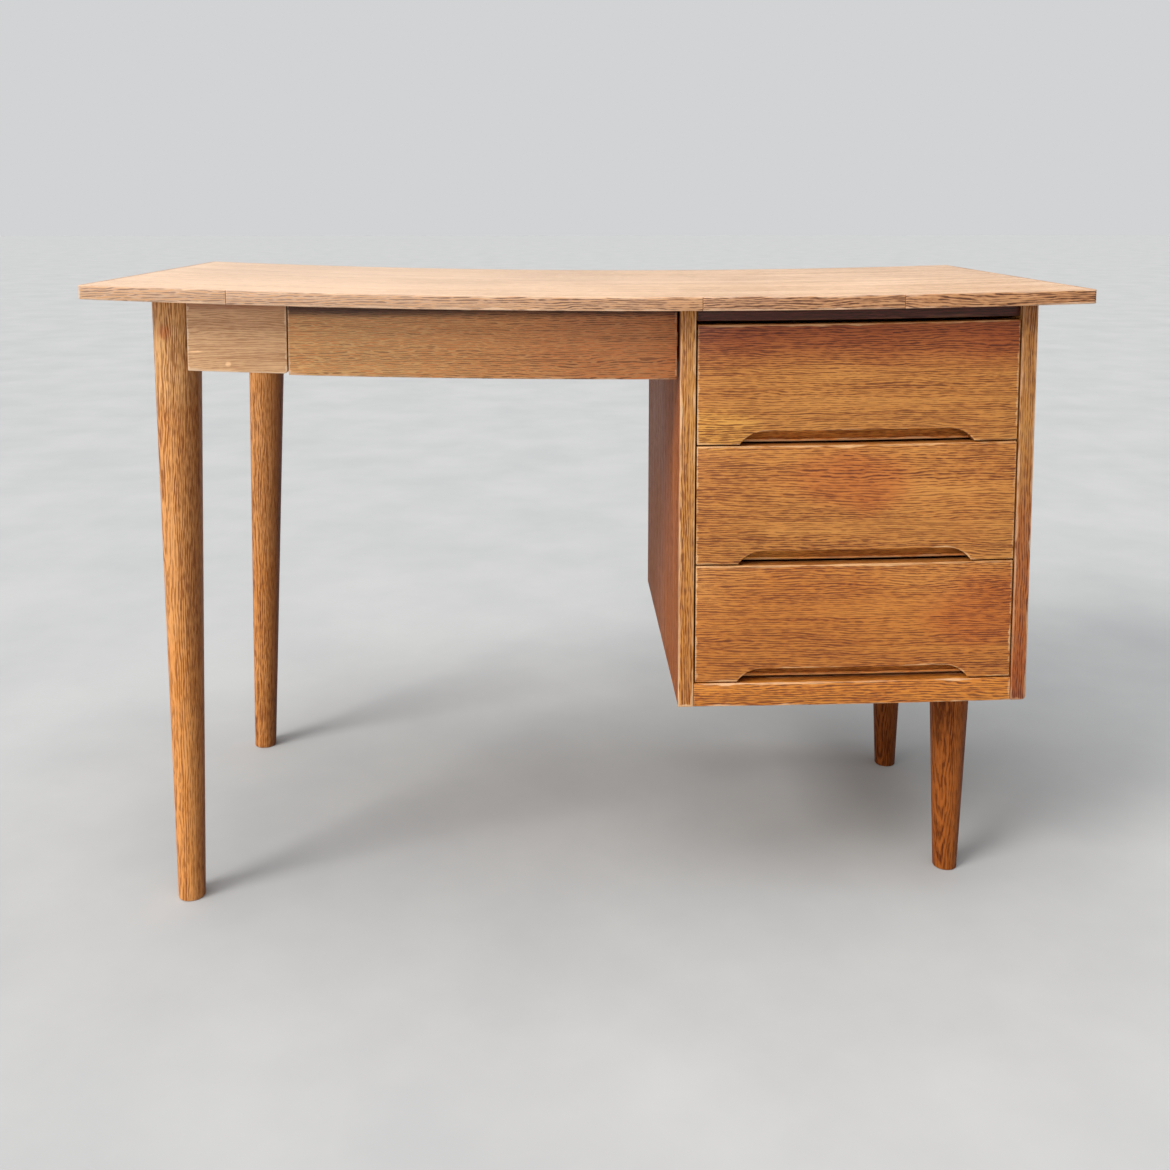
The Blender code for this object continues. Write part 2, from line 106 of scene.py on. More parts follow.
class Signal:
    """One output socket of a finish, on which shader maths is written as Python."""

    def __init__(self, graph: "FinishGraph", socket: bpy.types.NodeSocket) -> None:
        """Keep the graph and the socket."""
        self.graph = graph
        self.socket = socket

    def maths(self, operation: str, first: Any, second: Any) -> "Signal":
        """Add one Math node.

        Args:
            operation: The Math node's operation.
            first: First number or signal.
            second: Second number or signal.

        Returns:
            The result as a signal.
        """
        made = self.graph.node("ShaderNodeMath", {"operation": operation}, {0: first, 1: second})
        return Signal(self.graph, made.outputs[0])

    def __add__(self, other: Any) -> "Signal":
        """Sum."""
        return self.maths("ADD", self, other)

    def __radd__(self, other: Any) -> "Signal":
        """Sum with the number first."""
        return self.maths("ADD", other, self)

    def __sub__(self, other: Any) -> "Signal":
        """Difference."""
        return self.maths("SUBTRACT", self, other)

    def __rsub__(self, other: Any) -> "Signal":
        """Difference from a number."""
        return self.maths("SUBTRACT", other, self)

    def __mul__(self, other: Any) -> "Signal":
        """Product."""
        return self.maths("MULTIPLY", self, other)

    def __rmul__(self, other: Any) -> "Signal":
        """Product with the number first."""
        return self.maths("MULTIPLY", other, self)

    def __truediv__(self, other: Any) -> "Signal":
        """Quotient."""
        return self.maths("DIVIDE", self, other)

    def __pow__(self, other: Any) -> "Signal":
        """Power."""
        return self.maths("POWER", self, other)

    def at_most(self, other: Any) -> "Signal":
        """The smaller of two."""
        return self.maths("MINIMUM", self, other)

    def at_least(self, other: Any) -> "Signal":
        """The larger of two."""
        return self.maths("MAXIMUM", self, other)

    def size(self) -> "Signal":
        """The number without its sign."""
        return self.at_least(0.0 - self)


class FinishGraph:
    """The nodes of one finish, ending in its Principled shader."""

    def __init__(self, name: str) -> None:
        """Start a material with its own shader."""
        self.material = bpy.data.materials.new(name)
        self.material.use_nodes = True
        self.tree = self.material.node_tree
        self.shader = self.tree.nodes["Principled BSDF"]

    def node(
        self,
        kind: str,
        settings: Optional[Dict[str, Any]] = None,
        inputs: Optional[Dict[Union[int, str], Any]] = None,
    ) -> bpy.types.Node:
        """Add a node.

        Args:
            kind: Blender's name for the node's type.
            settings: The node's own settings; "stops" holds a colour ramp's stops.
            inputs: Values or links of its sockets, by name or by place.

        Returns:
            The node.
        """
        made = self.tree.nodes.new(kind)
        for key, value in (settings or {}).items():
            if key == "stops":
                self.set_stops(made.color_ramp, value)
            else:
                setattr(made, key, value)
        for key, value in (inputs or {}).items():
            self.feed(made.inputs[key], value)
        return made

    @staticmethod
    def set_stops(ramp: bpy.types.ColorRamp, stops: Sequence[Tuple[float, Colour]]) -> None:
        """Give a colour ramp its stops, in rising order."""
        while len(ramp.elements) < len(stops):
            ramp.elements.new(1.0)
        for element, (position, colour) in zip(ramp.elements, stops):
            element.position = position
            element.color = colour

    def feed(self, socket: bpy.types.NodeSocket, value: Any) -> None:
        """Link a signal or a socket to an input, or set the input's own value."""
        if isinstance(value, Signal):
            self.tree.links.new(value.socket, socket)
        elif isinstance(value, bpy.types.NodeSocket):
            self.tree.links.new(value, socket)
        else:
            socket.default_value = value

    def attribute(self, name: str, output: str = "Fac") -> Signal:
        """Read a number, or a vector, that the mesh carries."""
        made = self.node("ShaderNodeAttribute", {"attribute_type": "GEOMETRY", "attribute_name": name})
        return Signal(self, made.outputs[output])

    def object_place(self) -> bpy.types.NodeSocket:
        """The place on the desk, in metres."""
        return self.node("ShaderNodeTexCoord").outputs["Object"]

    def vector(self, x: Any, y: Any, z: Any) -> bpy.types.NodeSocket:
        """Join three numbers into a vector."""
        return self.node("ShaderNodeCombineXYZ", inputs={0: x, 1: y, 2: z}).outputs[0]

    def added(self, first: Any, second: Any) -> bpy.types.NodeSocket:
        """Add two vectors."""
        made = self.node("ShaderNodeVectorMath", {"operation": "ADD"}, {0: first, 1: second})
        return made.outputs[0]

    def axes(self, vector: Any) -> Tuple[Signal, Signal, Signal]:
        """Take a vector apart."""
        made = self.node("ShaderNodeSeparateXYZ", inputs={0: vector})
        return (Signal(self, made.outputs[0]), Signal(self, made.outputs[1]), Signal(self, made.outputs[2]))

    def stretched(self, vector: Any, scale: Place) -> bpy.types.NodeSocket:
        """Scale a place, for a pattern that is longer one way."""
        made = self.node("ShaderNodeMapping", inputs={"Vector": vector, "Scale": scale})
        return made.outputs[0]

    def noise(
        self, vector: Any, scale: float = 1.0, detail: float = 2.0, roughness: float = 0.5
    ) -> Signal:
        """Add a noise.

        Args:
            vector: Where it is read.
            scale: Its frequency.
            detail: Octaves.
            roughness: Weight of the finer octaves.

        Returns:
            The noise, about 0.5.
        """
        made = self.node(
            "ShaderNodeTexNoise",
            inputs={
                "Vector": vector,
                "Scale": scale,
                "Detail": detail,
                "Roughness": roughness,
            },
        )
        return Signal(self, made.outputs[0])

    def band(self, value: Any, start: float, end: float) -> Signal:
        """Ease a number from 0 at start to 1 at end."""
        made = self.node(
            "ShaderNodeMapRange",
            {"interpolation_type": "SMOOTHSTEP"},
            {"Value": value, "From Min": start, "From Max": end},
        )
        return Signal(self, made.outputs[0])

    def ramp(self, value: Any, stops: Sequence[Tuple[float, Colour]]) -> bpy.types.NodeSocket:
        """Turn a number into a colour."""
        made = self.node("ShaderNodeValToRGB", {"stops": stops}, {0: value})
        return made.outputs[0]

    def mix(self, share: Any, first: Any, second: Any, way: str = "MIX") -> bpy.types.NodeSocket:
        """Mix two colours.

        Args:
            share: How much of the second one shows.
            first: First colour.
            second: Second colour.
            way: How they mix.

        Returns:
            The mixed colour.
        """
        settings = {"data_type": "RGBA", "blend_type": way}
        made = self.node("ShaderNodeMix", settings, {0: share, 6: first, 7: second})
        return made.outputs[2]

    def dress(
        self,
        colour: Any,
        roughness: Any,
        relief: Any,
        depth: float,
        constants: Optional[Dict[str, float]] = None,
    ) -> bpy.types.Material:
        """End the finish.

        Args:
            colour: Base colour.
            roughness: Roughness.
            relief: Height of the surface, from 0 to 1.
            depth: How deep a relief of 1 is, in metres.
            constants: Shader sockets that are the same all over.

        Returns:
            The material.
        """
        bump = self.node("ShaderNodeBump", inputs={"Strength": 1.0, "Distance": depth, "Height": relief})
        self.feed(self.shader.inputs["Base Color"], colour)
        self.feed(self.shader.inputs["Roughness"], roughness)
        self.feed(self.shader.inputs["Normal"], bump.outputs[0])
        for name, value in (constants or {}).items():
            self.shader.inputs[name].default_value = value
        return self.material


# ---------------------------------------------------------------------------------------------
# Finishes
# ---------------------------------------------------------------------------------------------


class Grain(Enum):
    """Which way a board's fibres run."""

    ACROSS_DESK = 0
    FRONT_TO_BACK = 1
    UPRIGHT = 2

    def scale(self, along: float, across: float) -> Place:
        """Frequencies of a pattern, along and across the fibres."""
        return tuple(along if axis == self.value else across for axis in range(3))


@dataclass(frozen=True)
class Patch:
    """A stained or worn patch on a face, or a band of painted shade.

    It has a middle and a reach over X and Z, a tint, a strength, and a ragged or a clean outline.
    """

    middle: Tuple[float, float]
    reach: Tuple[float, float]
    tint: Colour
    strength: float = 0.6
    ragged: float = 2.4


@dataclass(frozen=True)
class FingerPull:
    """The slot cut up into a drawer front's lower edge, with ends that are arcs."""

    front_width: float = 0.376
    half_length: float = 0.138
    run: float = 0.030
    height: float = 0.0157

    @property
    def radius(self) -> float:
        """Radius of the end arcs."""
        return (self.run**2 + self.height**2) / (2 * self.height)

    @property
    def flat(self) -> float:
        """Half the length of the straight part."""
        return self.half_length - self.run


SWAY = (3.2, 11.0)
BANDS = (1.7, 46.0)
STREAKS = (11.0, 330.0)
DASHES = (90.0, 480.0)
RUB = (28.0, 140.0)
FLOW = (4.0, 17.0)
JITTER = (24.0, 130.0)
BLOTCH = 6.5
WEAR_SPREAD = 11.0
LINE_FLOW = 4.5
LINE_JITTER = 2.2
RELIEF_DEPTH = 0.00035
SHELTERED = (0.0002, 0.0014)
# Half the width, in metres across X, over which the painted light from the left fades out.
PAINTED_LIGHT_HALF_WIDTH = 0.50


@dataclass(frozen=True)
class Oak:
    """Oak under worn satin varnish: growth bands, fibres, short dark pores and pale arrises."""

    name: str
    pale: Colour
    middle: Colour
    dark: Colour
    pore: Colour
    worn: Colour
    grain: Grain = Grain.ACROSS_DESK
    pores: float = 0.95
    wear: float = 0.7
    wander: float = 0.010
    painted_light_colour: Optional[Colour] = None
    painted_light_share: float = 0.0
    patches: Tuple[Patch, ...] = ()
    roughness: float = 0.44
    coat: float = 0.12
    fleck: float = 0.75
    reach: float = 0.0024
    pore_spacing: float = 0.0027
    specular: float = 0.32
    pull: Optional[FingerPull] = None

    def material(self) -> bpy.types.Material:
        """Build the finish.

        Returns:
            The oak material.
        """
        graph = FinishGraph(self.name)
        desk_place = graph.object_place()
        lot = graph.attribute("lot")
        place = graph.added(desk_place, graph.vector(lot * 1.7, lot * 2.3, lot * 1.1))
        sway = graph.noise(graph.stretched(place, self.grain.scale(*SWAY)), detail=1.5)
        shift = (sway - 0.5) * self.wander
        place = graph.added(
            place, graph.vector(*(0.0 if axis == self.grain.value else shift for axis in range(3)))
        )
        bands = graph.noise(graph.stretched(place, self.grain.scale(*BANDS)), detail=3.0, roughness=0.6)
        streaks = graph.noise(graph.stretched(place, self.grain.scale(*STREAKS)), detail=2.0, roughness=0.55)
        dashes = graph.noise(graph.stretched(place, self.grain.scale(*DASHES)), detail=1.5, roughness=0.5)
        blotch = graph.noise(place, scale=BLOTCH, detail=2.5)
        tone = bands * 0.36 + streaks * 0.36 + blotch * 0.28
        colour = graph.ramp(tone, ((0.40, self.dark), (0.5, self.middle), (0.60, self.pale)))
        x, _, z = graph.axes(desk_place)
        filled: Any = self.pores
        # Painted light: the finish turns paler and greyer towards the left (-X), with fewer dark pores
        # there, standing in for light that falls from the left.
        if self.painted_light_colour is not None:
            side = graph.band(x + (blotch - 0.5) * 0.3, PAINTED_LIGHT_HALF_WIDTH, -PAINTED_LIGHT_HALF_WIDTH)
            colour = graph.mix(side * self.painted_light_share, colour, self.painted_light_colour)
            filled = self.pores * (1.0 - side * 0.4)
        lines = self.pore_lines(graph, place)
        crowd = graph.band(bands + (streaks - 0.5) * 0.5, 0.66, 0.38)
        broken = lines + (dashes - 0.5) * 2.2
        pores = graph.band(broken, 0.62, 0.98) * (0.6 + crowd * 0.4)
        colour = graph.mix(pores * filled, colour, self.pore)
        rays = graph.band(broken, 0.34, -0.02)
        colour = graph.mix(rays * self.fleck, colour, self.pale)
        # Every patch, the painted shade bands among them, is kept off the top face and its arris.
        below_top = graph.band(graph.axes(graph.attribute("to_high", "Vector"))[2], *SHELTERED)
        for patch in self.patches:
            across = (x - patch.middle[0]) / patch.reach[0]
            upward = (z - patch.middle[1]) / patch.reach[1]
            far = across * across + upward * upward + (blotch - 0.5) * patch.ragged
            share = graph.band(far, 1.0, 0.1) * below_top * patch.strength
            colour = graph.mix(share, colour, patch.tint, "MULTIPLY")
        rub = graph.noise(graph.stretched(place, self.grain.scale(*RUB)), detail=3.0)
        spread = graph.band(graph.noise(place, scale=WEAR_SPREAD, detail=1.0), 0.36, 0.60)
        inside = self.distance_inside(graph) + (rub - 0.5) * 0.010
        worn = graph.band(inside, self.reach, self.reach * 0.2) * (0.45 + spread * 0.55) * self.wear
        colour = graph.mix(worn, colour, self.worn)
        # Each piece's own tone; on the legs it also carries the painted shade of their inner sides.
        tone_and_painted_shade = graph.attribute("tone")
        colour = graph.mix(tone_and_painted_shade.at_least(0.0), colour, stain(255, 222, 186), "SOFT_LIGHT")
        colour = graph.mix((0.0 - tone_and_painted_shade).at_least(0.0), colour, stain(120, 70, 40), "MULTIPLY")
        roughness = self.roughness + (blotch - 0.5) * 0.25 + pores * 0.18 + worn * 0.12
        relief = 0.75 - pores * 0.6 + (streaks - 0.5) * 0.4 + (rub - 0.5) * 0.08
        constants = {"Coat Weight": self.coat, "Coat Roughness": 0.30, "Specular IOR Level": self.specular}
        return graph.dress(colour, roughness, relief, RELIEF_DEPTH, constants)

    def pore_lines(self, graph: FinishGraph, place: Any) -> Signal:
        """Fine, evenly spaced lines that wander along the fibres.

        Args:
            graph: The finish's nodes.
            place: Where the wood is read.

        Returns:
            1 in the middle of a line of pores, down to 0 between two lines.
        """
        x, y, z = graph.axes(place)
        across = {Grain.ACROSS_DESK: y + z, Grain.FRONT_TO_BACK: x + z, Grain.UPRIGHT: x + y}[self.grain]
        flow = graph.noise(graph.stretched(place, self.grain.scale(*FLOW)), detail=1.0)
        jitter = graph.noise(graph.stretched(place, self.grain.scale(*JITTER)), detail=1.0)
        turns = across / self.pore_spacing + flow * LINE_FLOW + jitter * LINE_JITTER
        return turns.maths("COSINE", turns * math.tau, 0.0) * 0.5 + 0.5

    def distance_inside(self, graph: FinishGraph) -> Signal:
        """How far a point of the surface is from the nearest arris, in metres.

        Args:
            graph: The finish's nodes.

        Returns:
            The distance.
        """
        from_low = graph.attribute("from_low", "Vector")
        to_high = graph.attribute("to_high", "Vector")
        nearest = graph.node("ShaderNodeVectorMath", {"operation": "MINIMUM"}, {0: from_low, 1: to_high})
        x, y, z = graph.axes(nearest.outputs[0])
        inside = x.at_least(y).at_most(y.at_least(z)).at_most(x.at_least(z))
        if self.pull is not None:
            across, _, upward = graph.axes(from_low)
            beyond = ((across - self.pull.front_width / 2).size() - self.pull.flat).at_least(0.0)
            above = upward - (self.pull.height - self.pull.radius)
            out = ((beyond * beyond + above * above) ** 0.5 - self.pull.radius).at_least(0.0)
            inside = inside.at_most(out + y + 0.0014)
        return inside


@dataclass(frozen=True)
class PlainWood:
    """Pale unvarnished drawer wood with soft streaks and small flecks."""

    name: str
    pale: Colour
    dark: Colour
    grain: Grain = Grain.FRONT_TO_BACK
    layers: bool = False

    def material(self) -> bpy.types.Material:
        """Build the finish.

        Returns:
            The wood's material.
        """
        graph = FinishGraph(self.name)
        place = graph.object_place()
        along = graph.stretched(place, self.grain.scale(4.0, 120.0))
        streaks = graph.noise(along, detail=4.0, roughness=0.62)
        flecks = graph.noise(graph.stretched(place, self.grain.scale(60.0, 700.0)), detail=2.0)
        stains = graph.noise(place, scale=9.0, detail=3.0)
        colour = graph.ramp(streaks * 0.6 + stains * 0.4, ((0.38, self.dark), (0.62, self.pale)))
        colour = graph.mix(graph.band(flecks, 0.52, 0.66) * 0.55, colour, self.dark)
        if self.layers:
            _, _, z = graph.axes(place)
            edge = graph.noise(graph.vector(0.0, 0.0, z * 1400.0), detail=0.0)
            colour = graph.mix(graph.band(edge, 0.52, 0.6) * 0.15, colour, self.dark)
        grime = graph.band(stains, 0.60, 0.75)
        colour = graph.mix(grime * 0.35, colour, self.dark, "MULTIPLY")
        roughness = 0.62 + (streaks - 0.5) * 0.2 + grime * 0.08
        return graph.dress(colour, roughness, streaks * 0.6 + flecks * 0.4, 0.00022)


@dataclass(frozen=True)
class Steel:
    """Dull zinc-plated steel of the leg bolts."""

    name: str
    colour: Colour = stain(168, 166, 160)
    tarnish: Colour = stain(96, 88, 78)

    def material(self) -> bpy.types.Material:
        """Build the finish.

        Returns:
            The steel's material.
        """
        graph = FinishGraph(self.name)
        place = graph.object_place()
        spots = graph.noise(place, scale=420.0, detail=3.0)
        brushed = graph.noise(graph.stretched(place, (900.0, 900.0, 90.0)), detail=2.0)
        dull = graph.band(spots, 0.52, 0.68)
        colour = graph.mix(dull, self.colour, self.tarnish)
        return graph.dress(colour, 0.30 + dull * 0.35, brushed, 0.00004, {"Metallic": 1.0})


@dataclass(frozen=True)
class StudioFloor:
    """A plain pale floor with the faintest mottling."""

    name: str
    pale: Colour = stain(180, 180, 179)
    dark: Colour = stain(173, 173, 173)

    def material(self) -> bpy.types.Material:
        """Build the finish.

        Returns:
            The floor's material.
        """
        graph = FinishGraph(self.name)
        mottle = graph.noise(graph.object_place(), scale=3.5, detail=5.0, roughness=0.6)
        colour = graph.ramp(mottle, ((0.35, self.dark), (0.65, self.pale)))
        return graph.dress(colour, 0.85 + (mottle - 0.5) * 0.1, mottle, 0.0004, {"Specular IOR Level": 0.2})


GOLDEN = stains((194, 130, 61), (172, 107, 45), (147, 83, 32), (101, 51, 15), (226, 178, 126))
RED_TINT = stain(240, 196, 172)


@dataclass
class FinishSet:
    """Every finish of the desk, each made once when first asked for."""

    made: Dict[str, bpy.types.Material] = field(default_factory=dict)
    recipes: Dict[str, Any] = field(default_factory=dict)

    def __post_init__(self) -> None:
        """Write down each finish's recipe."""
        for recipe in (
            Oak(
                "pale_top_oak",
                *stains((236, 199, 167), (217, 178, 142), (192, 150, 113), (132, 90, 58), (240, 212, 184)),
                # Painted light: paler towards the left.
                painted_light_colour=stain(244, 215, 189), painted_light_share=0.45, pores=0.55, roughness=0.46, coat=0.2,
            ),
            Oak(
                "top_edge_oak",
                *stains((203, 150, 104), (180, 127, 82), (148, 96, 57), (81, 43, 22), (238, 200, 166)),
                # Painted light: paler towards the left.
                painted_light_colour=stain(211, 182, 158), painted_light_share=0.62, pores=0.95, wear=0.6, reach=0.0022,
            ),
            Oak(
                "drawer_front_oak",
                *GOLDEN,
                pull=FingerPull(),
                patches=(
                    Patch((0.315, 0.525), (0.110, 0.045), RED_TINT, 0.6),
                    Patch((0.450, 0.375), (0.080, 0.060), RED_TINT, 0.45),
                    # Painted shadow of the tabletop: a darker, redder band along the top of the top drawer,
                    # fading downwards.
                    Patch((0.350, 0.730), (0.600, 0.085), stain(212, 168, 160), 1.0, 0.7),
                    Patch((0.148, 0.585), (0.070, 0.030), (1.35, 1.60, 1.55, 1.0), 0.9, 0.9),
                    Patch((0.350, 0.330), (0.400, 0.110), stain(252, 236, 204), 0.9),
                ),
            ),
            Oak(
                "centre_drawer_oak",
                *stains((179, 104, 50), (158, 87, 38), (134, 67, 27), (92, 42, 17), (224, 186, 150)),
                # Painted light: paler towards the left.
                painted_light_colour=stain(219, 179, 118), painted_light_share=0.6, wear=0.5,
                patches=(
                    # Painted shadow of the tabletop: a dark band along the top of the centre drawer's front,
                    # which stays when the drawer is open.
                    Patch((-0.120, 0.732), (1.200, 0.018), stain(84, 58, 62), 0.95, 0.3),
                    Patch((0.080, 0.690), (0.300, 0.070), stain(248, 226, 214), 0.6),
                ),
            ),
            Oak(
                "panel_oak",
                *stains((219, 174, 129), (202, 157, 114), (181, 133, 92), (145, 97, 60), (238, 208, 176)),
                pores=0.4, wear=0.5, fleck=0.4,
                patches=(
                    # Painted shade under the tabletop: a fainter dark band along the top of the front panel.
                    Patch((-0.410, 0.742), (0.300, 0.022), stain(190, 160, 160), 0.8, 0.8),
                    Patch((-0.421, 0.662), (0.0042, 0.0036), (1.50, 1.60, 1.70, 1.0), 1.0, 0.0),
                    Patch((-0.459, 0.677), (0.0110, 0.0012), (1.45, 1.50, 1.55, 1.0), 1.0, 0.0),
                ),
            ),
            Oak(
                "rail_oak",
                *stains((205, 131, 49), (182, 108, 36), (157, 84, 24), (104, 54, 18), (232, 190, 146)),
                pores=0.9,
            ),
            Oak(
                "lipping_oak",
                *stains((200, 142, 72), (177, 117, 55), (153, 91, 39), (104, 54, 18), (232, 190, 146)),
                grain=Grain.UPRIGHT, wander=0.006, pores=0.85,
                patches=(
                    Patch((0.350, 0.300), (0.600, 0.160), stain(255, 240, 214), 0.9),
                    Patch((0.508, 0.300), (0.060, 0.260), stain(240, 202, 186), 1.0, 0.8),
                ),
            ),
            # Left pedestal side: darker, redder oak, partly the wood's own colour and partly painted shade.
            Oak(
                "dark_wood_and_painted_shade_oak",
                *stains((165, 94, 42), (148, 80, 32), (124, 61, 21), (87, 39, 12), (214, 168, 124)),
                grain=Grain.UPRIGHT, wander=0.016, specular=0.03, coat=0.0,
            ),
            # Right pedestal side: the plain oak, with no painted shade.
            Oak(
                "plain_right_pedestal_oak",
                *stains((196, 136, 74), (174, 113, 57), (148, 87, 40), (100, 52, 20), (226, 178, 126)),
                grain=Grain.UPRIGHT, wander=0.016, specular=0.2, coat=0.05,
            ),
            Oak(
                "apron_oak",
                *stains((186, 132, 86), (166, 112, 70), (142, 90, 52), (98, 54, 28), (220, 180, 140)),
            ),
            # Painted light: the cove's oak is much lighter than the drawer fronts, standing in for light
            # inside the shaded cove.
            Oak(
                "cove_painted_light_oak",
                *stains((255, 179, 87), (242, 152, 71), (203, 121, 55), (137, 74, 31), (222, 170, 120)),
                wear=0.9,
            ),
            # Painted shade: the top rail's oak is made very dark for the shade under the tabletop.
            Oak(
                "top_rail_painted_shade_oak",
                *stains((85, 33, 17), (69, 25, 12), (55, 17, 7), (54, 30, 18), (140, 96, 66)),
                wear=0.3,
            ),
            Oak(
                "leg_oak",
                *stains((215, 152, 93), (191, 129, 71), (162, 100, 51), (111, 58, 23), (206, 158, 112)),
                grain=Grain.UPRIGHT, wander=0.008, pores=0.75, specular=0.12, coat=0.05,
                patches=(
                    Patch((-0.500, 0.690), (0.060, 0.080), (1.10, 1.30, 1.60, 1.0), 0.9),
                    Patch((-0.495, 0.700), (0.012, 0.012), stain(236, 186, 170), 0.7),
                    Patch((-0.490, 0.150), (0.080, 0.200), stain(255, 244, 222), 0.8),
                ),
            ),
            # Painted shade: a darker copy of the leg oak for the short legs in the shade under the pedestal.
            Oak(
                "short_leg_painted_shade_oak",
                *stains((155, 86, 35), (135, 72, 26), (110, 52, 16), (69, 28, 7), (165, 107, 59)),
                grain=Grain.UPRIGHT, wander=0.008, pores=0.75, specular=0.08, coat=0.0,
            ),
            PlainWood("drawer_wood", pale=stain(214, 180, 134), dark=stain(178, 138, 92)),
            PlainWood("drawer_wood_across", stain(210, 176, 130), stain(176, 136, 92), Grain.ACROSS_DESK),
            PlainWood("plywood", stain(206, 168, 122), stain(168, 128, 86), Grain.ACROSS_DESK, layers=True),
            Steel("bolt_steel"),
            StudioFloor("studio_floor"),
        ):
            self.recipes[recipe.name] = recipe
        name = "apron_oak_lengthwise"
        self.recipes[name] = replace(self.recipes["apron_oak"], name=name, grain=Grain.FRONT_TO_BACK)

    def get(self, name: str) -> bpy.types.Material:
        """Give a finish's material, built the first time."""
        if name not in self.made:
            self.made[name] = self.recipes[name].material()
        return self.made[name]


# ---------------------------------------------------------------------------------------------
# The bench: how pieces are shaped
# ---------------------------------------------------------------------------------------------


@dataclass(frozen=True)
class Settle:
    """How the old desk has sagged: a shallow curve over its width that fades out down to the floor."""

    curve: float = 0.033
    lowest_x: float = 0.09
    lift: float = 0.0073
    full_height: float = 0.258
    step: float = 0.045

    def drop(self, x: float, z: float) -> float:
        """How far a point of the desk moves up, in metres."""
        share = min(1.0, max(0.0, z / self.full_height))
        return share * (self.curve * (x - self.lowest_x) ** 2 - self.lift)

    def saw(self, piece: bpy.types.Object) -> None:
        """Cut a wide piece's faces into short lengths, so that it can bend."""
        xs = [vertex.co.x for vertex in piece.data.vertices]
        lengths = int((max(xs) - min(xs)) / self.step)
        if lengths > 1:
            Bench.enter(piece, "VERT")
            for cut in range(1, lengths):
                bpy.ops.mesh.select_all(action="SELECT")
                there = min(xs) + (max(xs) - min(xs)) * cut / lengths
                bpy.ops.mesh.bisect(plane_co=(there, 0.0, 0.0), plane_no=(1.0, 0.0, 0.0))
            Bench.leave()

    def lay(self, piece: bpy.types.Object) -> None:
        """Lay a piece along the curve."""
        for vertex in piece.data.vertices:
            vertex.co.z += self.drop(vertex.co.x, vertex.co.z)


